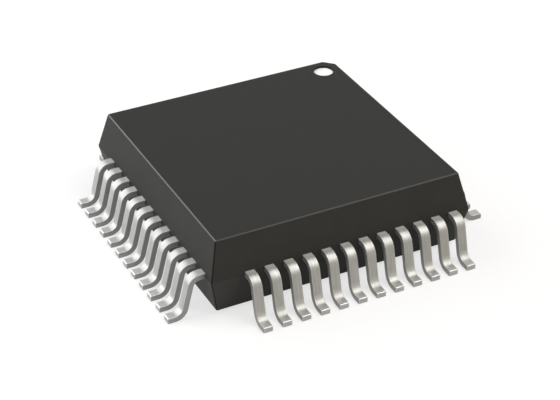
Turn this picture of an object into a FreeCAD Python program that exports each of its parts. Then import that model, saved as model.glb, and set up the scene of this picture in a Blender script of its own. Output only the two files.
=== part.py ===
# Quad flat package: a moulded body with 48 gull-wing leads, and the bonded chip inside it.
# Millimetres, +Z up. The origin is the middle of the plane that the feet stand on.
import FreeCAD, Part
import math
import os
from FreeCAD import Vector

# Rows of leads
leads_per_side = 12
pitch = 0.5
lead_width = 0.244
lead_thickness = 0.145

# Gull-wing form of a lead outside the moulding
shoulder_length = 0.12      # straight run from the moulding to the first bend
shoulder_bend = 0.1725      # inside radius
foot_bend = 0.1975          # inside radius
leg_lean = 14.3             # degrees from upright
foot_length = 0.19          # flat run after the second bend
toe_chamfer = 0.025

# Moulding
corner_margin = 0.48        # centre line of a row's last lead to the next side of the moulding
upper_height = 0.995        # parting line to top face
lower_height = 0.976        # underside to parting line
upper_draft = 13.1          # degrees
lower_draft = 12.3          # degrees
edge_round = 0.05
corner_cut = 0.25           # leg of the cut at the pin-one corner
standoff = 0.08             # seating plane to underside

# Marks left in the moulding
dot_diameter = 0.535
dot_inset = 0.485           # centre to the edges of the top face
dot_depth = 0.05            # top face to the ink
ink_thickness = 0.02
ejector_diameter = 1.2
ejector_depth = 0.05

# Chip and its paddle
die_width = 2.6
die_thickness = 0.28
attach_thickness = 0.03
attach_border = 0.06        # adhesive that shows round the chip
paddle_border = 0.39        # paddle that shows round the adhesive
paddle_downset = 0.2        # top of the leads to top of the paddle
tie_bar_width = 0.18
tie_bar_slope = 35.0        # degrees from level
tie_bar_cover = 0.18        # end of a tie bar to the side of the moulding

# Lead fingers inside the moulding
grip_length = 0.38          # full-width run from the moulding's side inwards
tip_gap = 0.3               # paddle to finger tips
tip_pitch = 0.3
tip_width = 0.15

# Bond wires
wire_diameter = 0.03
loop_height = 0.2           # chip's face to the corner of the loop
pad_pitch = 0.2
pad_inset = 0.1             # bond to the edge of the chip
stitch_inset = 0.12         # finger tip to the end of the wire

# Heights
underside_z = standoff
parting_z = underside_z + lower_height
top_z = parting_z + upper_height
lead_top_z = parting_z + lead_thickness / 2
lead_bottom_z = parting_z - lead_thickness / 2
paddle_top_z = lead_top_z - paddle_downset
attach_top_z = paddle_top_z + attach_thickness
die_top_z = attach_top_z + die_thickness

# Half widths of the moulding, which narrows by its draft above and below the parting line
parting_half = leads_per_side * pitch / 2 + corner_margin
top_half = parting_half - upper_height * math.tan(math.radians(upper_draft))
underside_half = parting_half - lower_height * math.tan(math.radians(lower_draft))

# Half widths of the stack inside
attach_half = die_width / 2 + attach_border
paddle_half = attach_half + paddle_border
tip_reach = paddle_half + tip_gap
root_reach = parting_half - grip_length


def row_place(index):
    """Place of a lead along its row, which sits half a pitch off the middle of its side."""
    return (index + 1 - leads_per_side / 2) * pitch


def spread(index, spacing):
    """Place of one of a row of like things that is centred on its side."""
    return (index - (leads_per_side - 1) / 2) * spacing


def polygon_face(points):
    return Part.Face(Part.makePolygon(points + points[:1]))


def block(half_width, low_z, high_z):
    """Square block round the vertical axis."""
    width = 2 * half_width
    return Part.makeBox(width, width, high_z - low_z, Vector(-half_width, -half_width, low_z))


def disc(diameter, x, y, low_z, high_z):
    return Part.makeCylinder(diameter / 2, high_z - low_z, Vector(x, y, low_z))


def drafted_prism():
    """Moulding's section, drafted both ways from the parting line, drawn out along Y."""
    section = [Vector(-underside_half, 0, underside_z), Vector(underside_half, 0, underside_z),
               Vector(parting_half, 0, parting_z), Vector(top_half, 0, top_z),
               Vector(-top_half, 0, top_z), Vector(-parting_half, 0, parting_z)]
    prism = polygon_face(section).extrude(Vector(0, 2 * parting_half, 0))
    prism.translate(Vector(0, -parting_half, 0))
    return prism


def pin_one_corner():
    """What the cut corner leaves out: its face keeps the draft of the sides beside it."""
    def cut_reach(half_width):
        return (2 * half_width - corner_cut) / math.sqrt(2)

    outside = 2 * parting_half
    section = [Vector(0, cut_reach(underside_half), underside_z), Vector(0, cut_reach(parting_half), parting_z),
               Vector(0, cut_reach(top_half), top_z), Vector(0, outside, top_z),
               Vector(0, outside, underside_z)]
    corner = polygon_face(section).extrude(Vector(2 * outside, 0, 0))
    corner.translate(Vector(-outside, 0, 0))
    corner.rotate(Vector(0, 0, 0), Vector(0, 0, 1), 45)
    return corner


def moulding_blank():
    """Outer form of the moulding, with every edge rounded but the one at the parting line."""
    across = drafted_prism()
    along = across.copy()
    along.rotate(Vector(0, 0, 0), Vector(0, 0, 1), 90)
    blank = across.common(along).cut(pin_one_corner()).removeSplitter()
    rounded = [edge for edge in blank.Edges
               if any(abs(vertex.Z - parting_z) > edge_round for vertex in edge.Vertexes)]
    return blank.makeFillet(edge_round, rounded)


def moulded_body(contents):
    """Moulding with its pin-one recess and ejector mark, cast round everything that it holds."""
    dot_place = top_half - dot_inset
    floor_z = top_z - dot_depth - ink_thickness
    recess = disc(dot_diameter, -dot_place, dot_place, floor_z, top_z)
    ejector_mark = disc(ejector_diameter, 0, 0, underside_z, underside_z + ejector_depth)
    return moulding_blank().cut([recess, ejector_mark] + contents)


def pin_one_dot():
    """White ink on the floor of the pin-one recess."""
    dot_place = top_half - dot_inset
    ink_top_z = top_z - dot_depth
    return disc(dot_diameter, -dot_place, dot_place, ink_top_z - ink_thickness, ink_top_z)


def bend_point(centre, radius, turn):
    """Point on a bend, at an angle in degrees from straight above its centre towards the outside."""
    angle = math.radians(turn)
    return centre + Vector(0, -radius * math.sin(angle), radius * math.cos(angle))


def bend_arc(centre, radius, start, end):
    middle = (start + end) / 2
    return Part.Arc(bend_point(centre, radius, start), bend_point(centre, radius, middle),
                    bend_point(centre, radius, end)).toShape()


def gull_wing():
    """Bent strip on the -Y side, centred on X: shoulder, leg and foot, with its root in the moulding."""
    turn = 90 - leg_lean
    sine = math.sin(math.radians(turn))
    rise = 1 - math.cos(math.radians(turn))
    shoulder_outer = shoulder_bend + lead_thickness
    foot_outer = foot_bend + lead_thickness
    bends = shoulder_bend + foot_bend + lead_thickness
    leg_length = (lead_bottom_z - bends * rise) / sine
    first_y = -(parting_half + shoulder_length)
    second_y = first_y - bends * sine - leg_length * math.cos(math.radians(turn))
    toe_y = second_y - foot_length

    first = Vector(0, first_y, lead_bottom_z - shoulder_bend)
    second = Vector(0, second_y, foot_outer)
    root_top = Vector(0, -root_reach, lead_top_z)
    root_bottom = Vector(0, -root_reach, lead_bottom_z)
    toe_top = Vector(0, toe_y + toe_chamfer, lead_thickness)
    toe_front = Vector(0, toe_y, lead_thickness - toe_chamfer)
    toe_bottom = Vector(0, toe_y, 0)
    back = 180 + turn

    leg_top = bend_point(first, shoulder_outer, turn)
    leg_bottom = bend_point(first, shoulder_bend, turn)
    foot_top = bend_point(second, foot_bend, back)
    heel = bend_point(second, foot_outer, back)
    edges = [
        Part.makeLine(root_top, bend_point(first, shoulder_outer, 0)),
        bend_arc(first, shoulder_outer, 0, turn),
        Part.makeLine(leg_top, foot_top),
        bend_arc(second, foot_bend, back, 180),
        Part.makeLine(bend_point(second, foot_bend, 180), toe_top),
        Part.makeLine(toe_top, toe_front),
        Part.makeLine(toe_front, toe_bottom),
        Part.makeLine(toe_bottom, bend_point(second, foot_outer, 180)),
        bend_arc(second, foot_outer, 180, back),
        Part.makeLine(heel, leg_bottom),
        bend_arc(first, shoulder_bend, turn, 0),
        Part.makeLine(bend_point(first, shoulder_bend, 0), root_bottom),
        Part.makeLine(root_bottom, root_top),
    ]
    strip = Part.Face(Part.Wire(edges)).extrude(Vector(lead_width, 0, 0))
    strip.translate(Vector(-lead_width / 2, 0, 0))
    return strip


def finger(index):
    """Flat finger that tapers and fans in from the root of a lead to its tip beside the paddle."""
    root_x = row_place(index)
    tip_x = spread(index, tip_pitch)
    outline = [Vector(root_x - lead_width / 2, -root_reach, lead_bottom_z),
               Vector(root_x + lead_width / 2, -root_reach, lead_bottom_z),
               Vector(tip_x + tip_width / 2, -tip_reach, lead_bottom_z),
               Vector(tip_x - tip_width / 2, -tip_reach, lead_bottom_z)]
    return polygon_face(outline).extrude(Vector(0, 0, lead_thickness))


def lead(index):
    """One lead of the row on the -Y side."""
    strip = gull_wing()
    strip.translate(Vector(row_place(index), 0, 0))
    return strip.fuse(finger(index)).removeSplitter()


def tie_bar():
    """Bar between two rows of fingers that carries one corner of the paddle, bent down to its level."""
    tips_x = (spread(leads_per_side - 1, tip_pitch) + tip_reach) / 2
    inner = Vector(tips_x, -tips_x, 0)
    outer = Vector((row_place(leads_per_side - 1) + root_reach) / 2, (row_place(0) - root_reach) / 2, 0)
    along = outer - inner
    along.normalize()
    start = Vector(paddle_half - tie_bar_width, tie_bar_width - paddle_half, 0)
    end_run = (parting_half - tie_bar_cover - inner.x) / along.x
    start_run = (start.x - inner.x) / along.x
    bend_run = start_run + tie_bar_width * math.sqrt(2)
    slope_run = paddle_downset / math.tan(math.radians(tie_bar_slope))

    def strip_point(run, z):
        return inner + along * run + Vector(0, 0, z)

    low = paddle_top_z - lead_thickness
    section = [strip_point(start_run, low), strip_point(bend_run, low),
               strip_point(bend_run + slope_run, lead_bottom_z), strip_point(end_run, lead_bottom_z),
               strip_point(end_run, lead_top_z), strip_point(bend_run + slope_run, lead_top_z),
               strip_point(bend_run, paddle_top_z), strip_point(start_run, paddle_top_z)]
    across = Vector(-along.y, along.x, 0) * tie_bar_width
    bar = polygon_face(section).extrude(across)
    bar.translate(across * -0.5)
    return bar


def die_paddle():
    """Paddle under the chip with its four tie bars, stamped from the same sheet as the leads."""
    paddle = block(paddle_half, paddle_top_z - lead_thickness, paddle_top_z)
    return paddle.fuse(four_sides(tie_bar())).removeSplitter()


def bond_wire(index):
    """Wire from a pad on the chip, up to the corner of its loop and down to a finger of the -Y row.

    Its section is a square as wide as the round wire is thick.
    """
    pad = Vector(spread(index, pad_pitch), pad_inset - die_width / 2, 0)
    share = stitch_inset / (root_reach - tip_reach)
    tip_x = spread(index, tip_pitch)
    stitch = Vector(tip_x + share * (row_place(index) - tip_x), -(tip_reach + stitch_inset), 0)
    corner_z = die_top_z + loop_height
    outward = stitch - pad
    slope = (corner_z - lead_top_z) / outward.Length
    outward.normalize()
    half_width = wire_diameter / 2
    half_rise = half_width * math.sqrt(1 + slope ** 2)

    def wire_point(run, z):
        return pad + outward * run + Vector(0, 0, z)

    def sloped_point(run, offset):
        return wire_point(run, corner_z + offset - slope * run)

    def landed_point(offset):
        return wire_point((corner_z + offset - lead_top_z) / slope, lead_top_z)

    outline = [wire_point(-half_width, die_top_z), wire_point(half_width, die_top_z),
               sloped_point(half_width, -half_rise), landed_point(-half_rise), landed_point(half_rise),
               sloped_point(-half_width, half_rise)]
    across = Vector(-outward.y, outward.x, 0) * wire_diameter
    wire = polygon_face(outline).extrude(across)
    wire.translate(across * -0.5)
    return wire


def four_sides(shape):
    """Copies of a shape for the four sides: -X, -Y, +X and +Y, anticlockwise from pin one."""
    copies = []
    for quarter in range(4):
        turned = shape.copy()
        turned.rotate(Vector(0, 0, 0), Vector(0, 0, 1), 90 * (quarter - 1))
        copies.append(turned)
    return copies


def all_leads():
    """Leads numbered from pin one, a row at a time."""
    rows = [four_sides(lead(index)) for index in range(leads_per_side)]
    return {"lead_%02d" % (side * leads_per_side + index + 1): rows[index][side]
            for side in range(4) for index in range(leads_per_side)}


def all_bond_wires():
    """Wires of one row together, as separate solids in one node."""
    row = Part.makeCompound([bond_wire(index) for index in range(leads_per_side)])
    nodes = {}
    for side, wires in enumerate(four_sides(row)):
        first = side * leads_per_side + 1
        nodes["bond_wires_%02d_%02d" % (first, first + leads_per_side - 1)] = wires
    return nodes


def build():
    nodes = all_leads()
    nodes.update(all_bond_wires())
    nodes["die_paddle"] = die_paddle()
    nodes["die_attach"] = block(attach_half, paddle_top_z, attach_top_z)
    nodes["silicon_die"] = block(die_width / 2, attach_top_z, die_top_z)
    nodes["moulded_body"] = moulded_body(list(nodes.values()))
    nodes["pin_one_dot"] = pin_one_dot()
    return nodes


os.makedirs("parts", exist_ok=True)
for name, shape in build().items():
    shape.exportStep("parts/%s.step" % name)
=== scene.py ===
import bpy
import math
from mathutils import Matrix, Vector


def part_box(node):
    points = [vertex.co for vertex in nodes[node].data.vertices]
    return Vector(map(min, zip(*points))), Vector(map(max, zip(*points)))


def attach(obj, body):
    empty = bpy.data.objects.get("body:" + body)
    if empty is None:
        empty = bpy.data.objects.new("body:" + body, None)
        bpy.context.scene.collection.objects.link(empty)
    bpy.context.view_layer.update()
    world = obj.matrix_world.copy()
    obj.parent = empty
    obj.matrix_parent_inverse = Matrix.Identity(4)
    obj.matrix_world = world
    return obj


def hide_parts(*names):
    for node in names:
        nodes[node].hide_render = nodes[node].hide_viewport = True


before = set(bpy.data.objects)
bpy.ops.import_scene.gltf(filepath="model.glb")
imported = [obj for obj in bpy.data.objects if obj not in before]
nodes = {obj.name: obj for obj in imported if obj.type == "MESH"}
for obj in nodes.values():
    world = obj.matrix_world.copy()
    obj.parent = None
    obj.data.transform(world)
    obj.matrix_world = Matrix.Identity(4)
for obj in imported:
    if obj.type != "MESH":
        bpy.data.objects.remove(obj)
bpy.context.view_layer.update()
mm = 0.001


# Paddle
# The square plate in the middle of the lead frame and the four bars that carried it: copper alloy
# sheet, stamped with the leads in one strip and left bare. The bars are bent down to its level.

class Signal:
    """An output of a material's node. Arithmetic on it adds the nodes that work it out."""

    def __init__(self, socket):
        self.socket = socket
        self.tree = socket.id_data

    def node(self, kind, settings, values, output=0):
        """Adds a node of that type to the same material and gives one of its outputs."""
        made = self.tree.nodes.new(kind)
        for name, value in settings.items():
            setattr(made, name, value)
        for name, value in values.items():
            if isinstance(value, Signal):
                self.tree.links.new(value.socket, made.inputs[name])
            else:
                made.inputs[name].default_value = value
        return Signal(made.outputs[output])

    def math(self, operation, other=0.0):
        return self.node("ShaderNodeMath", {"operation": operation}, {0: self, 1: other})

    def __add__(self, other):
        return self.math("ADD", other)

    def __sub__(self, other):
        return self.math("SUBTRACT", other)

    def __mul__(self, other):
        return self.math("MULTIPLY", other)

    def __rsub__(self, other):
        return self.node("ShaderNodeMath", {"operation": "SUBTRACT"}, {0: other, 1: self})

    __radd__ = __add__
    __rmul__ = __mul__

    def stretched(self, along_x, along_y, along_z):
        """The place on the piece, scaled on each axis."""
        return self.node("ShaderNodeVectorMath", {"operation": "MULTIPLY"},
                         {0: self, 1: (along_x, along_y, along_z)})

    def noise(self, size, detail=2.0):
        """Soft noise from 0 to 1, whose grains have that size in metres."""
        return self.node("ShaderNodeTexNoise", {}, {"Vector": self, "Scale": 1 / size, "Detail": detail})

    def between(self, low, high, to_low=0.0, to_high=1.0):
        """Rises from to_low to to_high as this goes from low to high."""
        return self.node("ShaderNodeMapRange", {"interpolation_type": "SMOOTHSTEP"},
                         {"Value": self, "From Min": low, "From Max": high,
                          "To Min": to_low, "To Max": to_high})

    def mixed(self, first, second):
        """First colour where this is 0, second where it is 1."""
        return self.node("ShaderNodeMix", {"data_type": "RGBA"}, {0: self, 6: first, 7: second}, output=2)

    def relief(self, height):
        """Normal of a surface with this as its relief, that high in metres."""
        return self.node("ShaderNodeBump", {}, {"Height": self, "Distance": height})


def rgb(red, green, blue):
    return (red, green, blue, 1.0)


def finish_of(name, **even):
    """A new material whose even values are set on its shader: the material, its shader and the place."""
    material = bpy.data.materials.new(name)
    material.use_nodes = True
    shader = material.node_tree.nodes["Principled BSDF"]
    for socket, value in even.items():
        shader.inputs[socket.replace("_", " ")].default_value = value
    place = material.node_tree.nodes.new("ShaderNodeTexCoord").outputs["Object"]
    return material, shader, Signal(place)


def feed(shader, **varying):
    """Links what changes over the surface to the shader."""
    for socket, value in varying.items():
        value.tree.links.new(value.socket, shader.inputs[socket.replace("_", " ")])


def coat(piece, material):
    """Gives a piece that material and no other."""
    piece.data.materials.clear()
    piece.data.materials.append(material)


copper, shader, place = finish_of("bare_copper_alloy", Metallic=1.0)
rolling = place.stretched(1, 12, 12).noise(0.2 * mm, detail=4.0)
tarnish = place.noise(0.9 * mm)
feed(shader, Base_Color=tarnish.between(0.35, 0.7).mixed(rgb(0.80, 0.47, 0.33), rgb(0.66, 0.38, 0.27)),
     Roughness=0.28 + 0.2 * rolling, Normal=rolling.relief(0.002 * mm))
coat(nodes["die_paddle"], copper)


# Adhesive
# The thin layer that holds the chip on the paddle: epoxy filled with silver flakes, dispensed as a
# paste, squeezed flat under the chip and cured.

silver_epoxy, shader, place = finish_of("silver_filled_epoxy", Metallic=0.6)
flakes = place.node("ShaderNodeTexVoronoi", {}, {"Vector": place, "Scale": 1 / (0.02 * mm)})
feed(shader, Base_Color=flakes.between(0.1, 0.6).mixed(rgb(0.72, 0.72, 0.70), rgb(0.45, 0.45, 0.44)),
     Roughness=flakes.between(0.0, 0.7, 0.3, 0.6), Normal=flakes.relief(0.004 * mm))
coat(nodes["die_attach"], silver_epoxy)


# Chip
# A square of silicon, sawn from a polished wafer. Its face is laid out in blocks of circuit with an
# aluminium pad under each wire; its sawn sides are plain grey.

circuit_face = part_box("silicon_die")[1].z


def parts(place):
    """The x, y and z of a place or of a direction."""
    x = place.node("ShaderNodeSeparateXYZ", {}, {"Vector": place})
    return [Signal(output) for output in x.socket.node.outputs]


silicon, shader, place = finish_of("patterned_silicon")
blocks = place.node("ShaderNodeTexBrick", {"offset": 0.35, "squash": 0.6, "squash_frequency": 3},
                    {"Vector": place, "Scale": 1 / (1.1 * mm), "Mortar Size": 0.03, "Brick Width": 0.5,
                     "Row Height": 0.37, "Color1": rgb(0.17, 0.20, 0.27), "Color2": rgb(0.30, 0.23, 0.20),
                     "Mortar": rgb(0.42, 0.43, 0.46)})
on_face = parts(place)[2].between(circuit_face - 0.004 * mm, circuit_face - 0.002 * mm)
cells = place.node("ShaderNodeTexVoronoi", {"distance": "CHEBYCHEV"},
                   {"Vector": place, "Scale": 1 / (0.05 * mm)})
feed(shader, Base_Color=on_face.mixed(rgb(0.20, 0.21, 0.23), blocks),
     Metallic=on_face * 0.5, Roughness=0.42 - 0.22 * on_face + 0.1 * cells)
coat(nodes["silicon_die"], silicon)


# Bond wires
# Forty-eight fine gold wires, one to a lead, bonded to the chip's pads, lifted over in a low loop
# and stitched to the tips of the fingers.

gold, shader, place = finish_of("drawn_gold", Metallic=1.0)
drawing = place.noise(0.03 * mm, detail=3.0)
feed(shader, Base_Color=drawing.mixed(rgb(0.98, 0.74, 0.33), rgb(0.86, 0.60, 0.24)),
     Roughness=0.16 + 0.14 * drawing)
for node in nodes:
    if node.startswith("bond_wires"):
        coat(nodes[node], gold)


# Leads
# Forty-eight leads, stamped with the paddle from one sheet of copper alloy. Once moulded in, they
# are plated with matte tin, cut free and bent in a press, which rubs them duller in streaks. Their
# colour also carries painted light: painted highlights along their edges and round the foot, painted
# light on the length beside the body and inside the heel, and painted shade on the sheared sides,
# which are also rougher.

leads_per_side = 12
pitch = 0.5 * mm
lead_width = 0.244 * mm
lead_thickness = 0.145 * mm
grip_length = 0.38 * mm
shoulder_length = 0.12 * mm
shoulder_bend = 0.1725 * mm
foot_bend = 0.1975 * mm
foot_length = 0.19 * mm
bend_turn = math.radians(90 - 14.3)
bend_steps = 12
toe_round = 0.03 * mm
stamped_edge = 0.014 * mm
tip_pitch = 0.3 * mm
tip_width = 0.15 * mm
beside_body_length = 0.20 * mm
heel_bottom = 0.18 * mm
heel_top = 0.36 * mm
streak_width = 0.03 * mm
streak_length = 0.9 * mm
bright_tin = rgb(0.475, 0.472, 0.458)
dull_tin = rgb(0.39, 0.387, 0.375)
# painted shade: darker tin for the sheared sides
shaded_side_tin = rgb(0.33, 0.33, 0.318)
# painted light: lighter tin beside the body and inside the heel
painted_light_tin = rgb(0.59, 0.588, 0.572)
# painted highlight: lighter tin along the stamped edges and round the foot
lead_highlight_tin = rgb(0.67, 0.667, 0.65)
hair = 0.001 * mm

parting_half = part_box("moulded_body")[1].x
tip_reach = -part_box("lead_13")[1].y
lead_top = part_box("lead_13")[1].z
lead_bottom = lead_top - lead_thickness
root_reach = parting_half - grip_length
shoulder_reach = parting_half + shoulder_length
foot_outer_bend = foot_bend + lead_thickness
bends = shoulder_bend + foot_outer_bend
leg_length = (lead_bottom - bends * (1 - math.cos(bend_turn))) / math.sin(bend_turn)
leg = Vector((0, -math.cos(bend_turn), -math.sin(bend_turn))) * leg_length
foot_reach = shoulder_reach + bends * math.sin(bend_turn) - leg.y
toe_reach = foot_reach + foot_length


def start(primitive, **how):
    """Deselects everything, adds a primitive and opens it in edit mode with nothing selected."""
    if bpy.context.mode != "OBJECT":
        bpy.ops.object.mode_set(mode="OBJECT")
    bpy.ops.object.select_all(action="DESELECT")
    primitive(**how)
    piece = bpy.context.object
    bpy.ops.object.transform_apply(location=True, rotation=True, scale=True)
    bpy.ops.object.mode_set(mode="EDIT")
    bpy.ops.mesh.select_all(action="DESELECT")
    return piece


def block(name, low, high):
    """A box between two corners, open in edit mode."""
    low, high = Vector(low), Vector(high)
    piece = start(bpy.ops.mesh.primitive_cube_add, size=1, location=(low + high) / 2, scale=high - low)
    piece.name = name
    return piece


def pick(piece, kind, wanted):
    """Selects those edges or polygons of an edited piece whose middle passes a test."""
    bpy.ops.mesh.select_mode(type={"edges": "EDGE", "polygons": "FACE"}[kind])
    bpy.ops.mesh.select_all(action="DESELECT")
    bpy.ops.object.mode_set(mode="OBJECT")
    for part in getattr(piece.data, kind):
        if kind == "polygons":
            middle = part.center
        else:
            ends = [piece.data.vertices[v].co for v in part.vertices]
            middle = (ends[0] + ends[1]) / 2
        part.select = wanted(middle)
    bpy.ops.object.mode_set(mode="EDIT")


def close(piece):
    """Leaves edit mode with the faces of the piece pointing out."""
    bpy.ops.mesh.select_all(action="SELECT")
    bpy.ops.mesh.normals_make_consistent(inside=False)
    bpy.ops.object.mode_set(mode="OBJECT")


def apply(piece, kind, **settings):
    """Adds a modifier with those settings and applies it."""
    bpy.ops.object.select_all(action="DESELECT")
    bpy.context.view_layer.objects.active = piece
    piece.select_set(True)
    modifier = piece.modifiers.new(kind.lower(), kind)
    for name, value in settings.items():
        setattr(modifier, name, value)
    bpy.ops.object.modifier_apply(modifier=modifier.name)


def smooth(piece, angle):
    """Shades a piece smooth but for its sharper edges, with its flat faces kept flat."""
    bpy.ops.object.select_all(action="DESELECT")
    bpy.context.view_layer.objects.active = piece
    piece.select_set(True)
    bpy.ops.mesh.customdata_custom_splitnormals_clear()
    bpy.ops.object.shade_smooth_by_angle(angle=math.radians(angle))
    apply(piece, "WEIGHTED_NORMAL", keep_sharp=True)


def copied(piece, name):
    """A copy of a piece with its own mesh."""
    twin = piece.copy()
    twin.data = piece.data.copy()
    twin.name = name
    bpy.context.scene.collection.objects.link(twin)
    return twin


def settle(piece, turn, x):
    """Moves a piece along X, turns it about the frame's upright axis, and bakes that into its mesh."""
    piece.rotation_euler = (0, 0, turn)
    piece.location = Matrix.Rotation(turn, 3, "Z") @ Vector((x, 0, 0))
    bpy.ops.object.select_all(action="DESELECT")
    bpy.context.view_layer.objects.active = piece
    piece.select_set(True)
    bpy.ops.object.transform_apply(location=True, rotation=True, scale=True)


tin, shader, place = finish_of("matte_tin_plating", Metallic=0.45)
across = place.node("ShaderNodeAttribute", {"attribute_name": "across"}, {}, output="Fac")
fine_across = across * (1 / streak_width)
shift = across.node("ShaderNodeCombineXYZ", {}, {"X": fine_across, "Y": fine_across})
lengthwise = place.stretched(1 / streak_length, 1 / streak_length, 1 / streak_length)
streak_place = lengthwise.node("ShaderNodeVectorMath", {"operation": "ADD"}, {0: lengthwise, 1: shift})
streaks = streak_place.noise(1.0, detail=3.0)
grains = place.noise(0.012 * mm)
clouds = place.noise(0.25 * mm)
in_row = across - pitch * (across * (1 / pitch)).math("ROUND")
off_middle = in_row.math("ABSOLUTE")
# The sheared sides, rougher than the rest and darkened with painted shade.
sheared_shaded_side = off_middle.between(0.46 * lead_width, 0.49 * lead_width)
rolled = (0.7 * streaks + 0.3 * clouds).between(0.35, 0.65).mixed(bright_tin, dull_tin)
aside, ahead, up = [part.math("ABSOLUTE") for part in parts(place)]
outwards = aside.math("MAXIMUM", ahead)
# Painted light: lighter tin on the length beside the body and inside the heel.
beside_body = outwards.between(parting_half + 0.15 * beside_body_length, parting_half + beside_body_length, 1.0, 0.0)
above_foot = up.between(heel_bottom, heel_bottom + 0.05 * mm)
in_heel = above_foot * up.between(heel_top - 0.10 * mm, heel_top, 1.0, 0.0)
painted_light = 0.9 * beside_body.math("MAXIMUM", 0.85 * in_heel)
side_edge = off_middle.between(0.5 * lead_width - 1.6 * stamped_edge, 0.5 * lead_width - 0.9 * stamped_edge)
toe_end = outwards.between(toe_reach - 1.1 * toe_round, toe_reach - 0.6 * toe_round)
toe_edge = toe_end * up.between(lead_thickness - 0.9 * toe_round, lead_thickness - 0.4 * toe_round)
on_foot = up.between(lead_thickness, 1.3 * lead_thickness, 1.0, 0.0)
# Painted highlight along the stamped edges, strongest round the foot and the toe.
lead_highlight = (0.45 * side_edge).math("MAXIMUM", on_foot * side_edge.math("MAXIMUM", toe_edge))
plated = lead_highlight.mixed(painted_light.mixed(rolled, painted_light_tin), lead_highlight_tin)
feed(shader, Base_Color=sheared_shaded_side.mixed(plated, shaded_side_tin),
     Roughness=0.31 + 0.14 * streaks + 0.06 * clouds + 0.12 * sheared_shaded_side,
     Normal=(0.6 * streaks + 0.4 * grains).relief(0.0016 * mm))

strip = block("lead_strip", (-lead_width / 2, -shoulder_reach, lead_bottom),
              (lead_width / 2, -root_reach, lead_top))
pick(strip, "polygons", lambda middle: middle.y < hair - shoulder_reach)
bpy.ops.mesh.spin(steps=bend_steps, angle=-bend_turn, axis=(1, 0, 0),
                  center=(0, -shoulder_reach, lead_bottom - shoulder_bend))
bpy.ops.mesh.extrude_region_move(TRANSFORM_OT_translate={"value": leg})
bpy.ops.mesh.spin(steps=bend_steps, angle=bend_turn, axis=(1, 0, 0),
                  center=(0, -foot_reach, foot_outer_bend))
bpy.ops.mesh.extrude_region_move(TRANSFORM_OT_translate={"value": (0, -foot_length, 0)})
pick(strip, "polygons", lambda middle: middle.y > -root_reach - hair)
bpy.ops.mesh.extrude_region_move(TRANSFORM_OT_translate={"value": (0, root_reach - tip_reach, 0)})
bpy.ops.transform.resize(value=(tip_width / lead_width, 1, 1))
pick(strip, "edges", lambda middle: middle.y < hair - toe_reach and middle.z > lead_thickness - hair)
bpy.ops.mesh.bevel(offset=toe_round, segments=5, affect="EDGES")
close(strip)
apply(strip, "BEVEL", width=stamped_edge, segments=3, limit_method="ANGLE", angle_limit=math.radians(50))
smooth(strip, angle=35)
coat(strip, tin)

leads = []
for row in range(4):
    for index in range(leads_per_side):
        row_place = (index + 1 - leads_per_side / 2) * pitch
        fan = (index - (leads_per_side - 1) / 2) * tip_pitch - row_place
        number = row * leads_per_side + index + 1
        lead = copied(strip, "formed_lead_%02d" % number)
        seed = lead.data.attributes.new("across", "FLOAT", "POINT")
        for vertex in lead.data.vertices:
            seed.data[vertex.index].value = vertex.co.x + number * pitch
            inwards = max(0, vertex.co.y + root_reach) / (root_reach - tip_reach)
            vertex.co.x += fan * inwards
        settle(lead, math.radians(90 * (row - 1)), row_place)
        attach(lead, "root")
        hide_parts("lead_%02d" % number)
        leads.append(lead)
bpy.data.objects.remove(strip)


# Moulding
# Black epoxy compound, moulded round the frame between two halves of a spark-eroded steel tool,
# which leaves a fine matte skin, drafted sides, a parting line, the cut corner at pin one and the
# recess for the dot. Its colour carries painted light: a painted highlight on the top edges, painted
# shade on the top face, the upright corners and the recess walls, and painted light from the floor
# on the lower half.

body_low, body_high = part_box("moulded_body")
body_bottom = body_low.z
body_top = body_high.z
upper_height = 0.995 * mm
parting_z = body_top - upper_height
upper_draft = math.radians(13.1)
lower_draft = math.radians(12.3)
top_half = parting_half - upper_height * math.tan(upper_draft)
bottom_half = parting_half - (parting_z - body_bottom) * math.tan(lower_draft)
corner_cut = 0.25 * mm
edge_round = 0.05 * mm
edge_inset = edge_round * math.tan((math.pi / 2 - upper_draft) / 2)
flat_margin = 2 * edge_round
dot_diameter = 0.535 * mm
dot_place = top_half - 0.485 * mm
recess_depth = 0.07 * mm
ejector_diameter = 1.2 * mm
ejector_depth = 0.05 * mm
side_black = rgb(0.044, 0.0433, 0.0405)
side_grey = rgb(0.047, 0.0463, 0.0433)
# painted light from the floor: a lighter, warmer colour for the lower half
floor_light_grey = rgb(0.057, 0.0555, 0.0515)
# painted shade: a darker colour for the top face
top_shade_black = rgb(0.027, 0.027, 0.0252)
# painted shade: a darker colour for the upright corners and the recess walls
shade_black = rgb(0.016, 0.016, 0.015)
# painted highlight: a lighter grey for the top edges
edge_highlight_grey = rgb(0.175, 0.175, 0.169)

compound, shader, place = finish_of("black_moulding_compound", Specular_IOR_Level=0.07)
skin = place.noise(0.02 * mm, detail=3.0)
patches = place.noise(0.6 * mm)
facing_x, facing_y, facing_up = parts(place.node("ShaderNodeNewGeometry", {}, {}, output="Normal"))
top_edge = facing_up.between(0.42, 0.58) * (1 - facing_up.between(0.84, 0.93))
# Painted highlight on the top edges, brightest on the -Y side; these edges are also glossier.
painted_highlight_edge = top_edge * facing_y.between(-0.6, -0.3, 1.0, 0.42)
# Painted shade on the upright corners, but for the cut corner at pin one, and on the recess walls.
upright_edge = (facing_x * facing_y).math("ABSOLUTE").between(0.20, 0.35)
pin_one_side = (facing_y - facing_x).between(0.8, 1.1)
recess_wall = facing_up.math("ABSOLUTE").between(0.05, 0.15, 1.0, 0.0)
corner_and_recess_shade = (upright_edge * (1 - pin_one_side)).math("MAXIMUM", recess_wall)
upper_half = patches.between(0.3, 0.7).mixed(side_black, side_grey)
# Painted light from the floor on the downward-facing lower half.
sides = facing_up.between(-0.20, -0.15, 1.0, 0.0).mixed(upper_half, floor_light_grey)
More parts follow.
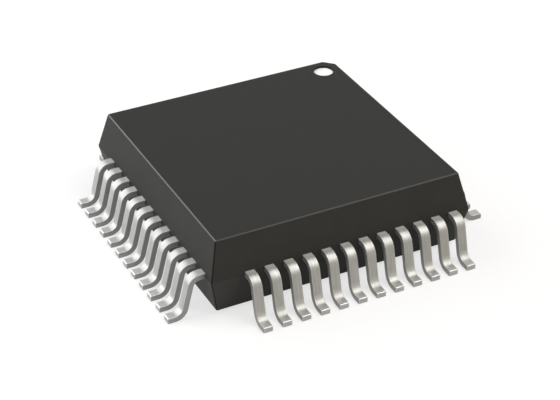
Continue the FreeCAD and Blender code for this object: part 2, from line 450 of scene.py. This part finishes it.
# Painted shade on the top face.
moulded = facing_up.between(0.98, 0.995).mixed(sides, top_shade_black)
feed(shader, Base_Color=painted_highlight_edge.mixed(corner_and_recess_shade.mixed(moulded, shade_black), edge_highlight_grey),
     Roughness=0.50 + 0.10 * skin - 0.30 * painted_highlight_edge, Normal=skin.relief(0.0025 * mm))


def joined(name, pieces):
    """Several pieces as one mesh."""
    bpy.ops.object.select_all(action="DESELECT")
    for piece in pieces:
        piece.select_set(True)
    bpy.context.view_layer.objects.active = pieces[0]
    bpy.ops.object.join()
    pieces[0].name = name
    return pieces[0]


def cut_away(piece, tool):
    """Cuts the tool's shape out of a piece and removes the tool."""
    apply(piece, "BOOLEAN", operation="DIFFERENCE", solver="EXACT", object=tool)
    bpy.data.objects.remove(tool)


body = block("moulding", (-parting_half, -parting_half, body_bottom),
             (parting_half, parting_half, body_top))
bpy.ops.mesh.select_all(action="SELECT")
bpy.ops.mesh.bisect(plane_co=(0, 0, parting_z), plane_no=(0, 0, 1))
for level, half in ((body_top, top_half), (body_bottom, bottom_half)):
    pick(body, "polygons", lambda middle: abs(middle.z - level) < hair)
    bpy.ops.transform.resize(value=(half / parting_half, half / parting_half, 1))
pick(body, "edges", lambda middle: abs(middle.x + middle.y) < hair and middle.x < 0)
bpy.ops.mesh.bevel(offset=corner_cut, segments=1, affect="EDGES")
pick(body, "edges", lambda middle: abs(middle.z - parting_z) > edge_round)
bpy.ops.mesh.bevel(offset=edge_inset, segments=6, affect="EDGES")
for level in (body_top, body_bottom):
    pick(body, "polygons", lambda middle: abs(middle.z - level) < 0.1 * hair)
    bpy.ops.mesh.inset(thickness=flat_margin)
close(body)

recess = start(bpy.ops.mesh.primitive_cylinder_add, vertices=72, radius=dot_diameter / 2,
               depth=2 * recess_depth, location=(-dot_place, dot_place, body_top))
close(recess)
cut_away(body, recess)
ejector = start(bpy.ops.mesh.primitive_cylinder_add, vertices=96, radius=ejector_diameter / 2,
                depth=2 * ejector_depth, location=(0, 0, body_bottom))
close(ejector)
cut_away(body, ejector)
cut_away(body, joined("lead_sockets", [copied(lead, lead.name + "_socket") for lead in leads]))
smooth(body, angle=20)
coat(body, compound)
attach(body, "root")
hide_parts("moulded_body")


# Pin-one dot
# A spot of white marking ink, printed on the floor of the round recess beside the cut corner,
# where it dries with a softly rounded rim. It shows where lead 1 is.

ink_low, ink_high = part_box("pin_one_dot")
ink_radius = (ink_high.x - ink_low.x) / 2
ink_thickness = ink_high.z - ink_low.z
ink_rim = 0.4 * ink_thickness
ink, shader, place = finish_of("white_marking_ink", Roughness=0.6)
mottle = place.noise(0.08 * mm)
feed(shader, Base_Color=mottle.mixed(rgb(0.90, 0.90, 0.89), rgb(0.97, 0.97, 0.96)),
     Normal=mottle.relief(0.003 * mm))
dot = start(bpy.ops.mesh.primitive_cylinder_add, vertices=72, radius=ink_radius, depth=ink_thickness,
            location=(ink_low + ink_high) / 2)
dot.name = "white_dot"
pick(dot, "polygons", lambda middle: middle.z > ink_high.z - hair)
bpy.ops.mesh.bevel(offset=ink_rim, segments=3, affect="EDGES")
close(dot)
smooth(dot, angle=50)
coat(dot, ink)
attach(dot, "root")
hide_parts("pin_one_dot")


# Studio
# The chip stands on a white sheet that runs out into plain white, under two large soft lamps. A
# warm grey card beyond the +X side shows only in what the metal mirrors, and from underneath the
# sheet can be seen through.

floor_half = 150 * mm
card_direction = (0.92, 0.38, 0.0)
card_colour = rgb(0.62, 0.56, 0.43)
plain_white = rgb(1.0, 1.0, 1.0)


def rays(tree):
    """Whether a ray comes from the camera, from a gloss, or from either of them or through glass."""
    paths = tree.nodes.new("ShaderNodeLightPath").outputs
    camera_ray, glossy_ray, through_glass = [
        Signal(paths[kind]) for kind in ("Is Camera Ray", "Is Glossy Ray", "Is Transmission Ray")]
    return camera_ray, glossy_ray, camera_ray.math("MAXIMUM", glossy_ray).math("MAXIMUM", through_glass)


def towards_card(place):
    """How far a place lies in the direction of the card."""
    return place.node("ShaderNodeVectorMath", {"operation": "DOT_PRODUCT"}, {0: place, 1: card_direction},
                      output="Value")


def either(mask, first, second):
    """First shader where the mask is 0, second where it is 1."""
    return mask.node("ShaderNodeMixShader", {}, {0: mask, 1: first, 2: second})


start(bpy.ops.mesh.primitive_plane_add, size=2 * floor_half)
bpy.ops.object.mode_set(mode="OBJECT")
floor = bpy.context.object
floor.name = "floor"

white = bpy.data.materials.new("white_acrylic")
white.use_nodes = True
tree = white.node_tree
tree.nodes.remove(tree.nodes["Principled BSDF"])
camera_ray, glossy_ray, seen = rays(tree)
place = Signal(tree.nodes.new("ShaderNodeTexCoord").outputs["Object"])
unseen_sheet = place.node("ShaderNodeBsdfDiffuse", {}, {"Color": rgb(0.80, 0.80, 0.80)})
shadow_sheet = place.node("ShaderNodeBsdfDiffuse", {}, {"Color": rgb(0.32, 0.32, 0.32)})
glow = place.node("ShaderNodeEmission", {}, {"Color": plain_white, "Strength": 0.69})
card = place.node("ShaderNodeEmission", {}, {"Color": card_colour, "Strength": 1.0})
far_white = place.node("ShaderNodeEmission", {}, {"Color": plain_white, "Strength": 1.0})
clear = place.node("ShaderNodeBsdfTransparent", {}, {})
from_middle = place.node("ShaderNodeVectorMath", {"operation": "LENGTH"}, {0: place}, output="Value")
underneath = place.node("ShaderNodeNewGeometry", {}, {}, output="Backfacing")

sheet = either(seen, unseen_sheet, glow.node("ShaderNodeAddShader", {}, {0: shadow_sheet, 1: glow}))
sheet = either(glossy_ray * towards_card(place).between(5 * mm, 8 * mm), sheet, card)
sheet = either(camera_ray * from_middle.between(25 * mm, 60 * mm), sheet, far_white)
sheet = either(camera_ray * underneath, sheet, clear)
tree.links.new(sheet.socket, tree.nodes["Material Output"].inputs["Surface"])
coat(floor, white)

world = bpy.data.worlds.new("studio")
bpy.context.scene.world = world
world.use_nodes = True
tree = world.node_tree
camera_ray, glossy_ray, seen = rays(tree)
direction = Signal(tree.nodes.new("ShaderNodeTexCoord").outputs["Generated"])
on_card = glossy_ray * towards_card(direction).between(0.75, 0.96)
background = tree.nodes["Background"].inputs
tree.links.new(on_card.mixed(plain_white, card_colour).socket, background["Color"])
tree.links.new((0.13 + 0.87 * seen).socket, background["Strength"])

lamp_distance = 90 * mm


def lamp(name, aside, ahead, up, size, brightness, tint):
    """A square soft lamp in that direction, so large and so bright, that shines at the chip."""
    light = bpy.data.lights.new(name, "AREA")
    light.color = tint
    light.size = size
    light.energy = brightness * math.pi * size ** 2
    holder = bpy.data.objects.new(name, light)
    towards = Vector((aside, ahead, up)).normalized()
    holder.location = towards * lamp_distance
    holder.rotation_euler = (-towards).to_track_quat("-Z", "Y").to_euler()
    bpy.context.scene.collection.objects.link(holder)


lamp("overhead_lamp", 0.26, 0.37, 0.87, 78 * mm, 3.5, (1.0, 0.965, 0.90))
lamp("left_lamp", -0.69, -0.66, 0.38, 126 * mm, 2.7, (0.93, 0.957, 1.0))

aim = Vector((1.010, -0.461, 1.057)) * mm
camera_distance = 41.82 * mm
camera_azimuth = math.radians(63.05)
camera_elevation = math.radians(32.83)
camera_lens = 109.02
camera_data = bpy.data.cameras.new("camera")
camera_data.sensor_width = 36
camera_data.lens = camera_lens
camera_data.clip_start = 1 * mm
camera_data.clip_end = 1
camera = bpy.data.objects.new("camera", camera_data)
camera.rotation_euler = (math.pi / 2 - camera_elevation, 0, camera_azimuth)
camera.location = aim + camera.rotation_euler.to_matrix() @ Vector((0, 0, camera_distance))
bpy.context.scene.collection.objects.link(camera)
bpy.context.scene.camera = camera
bpy.context.scene.view_settings.view_transform = "Standard"
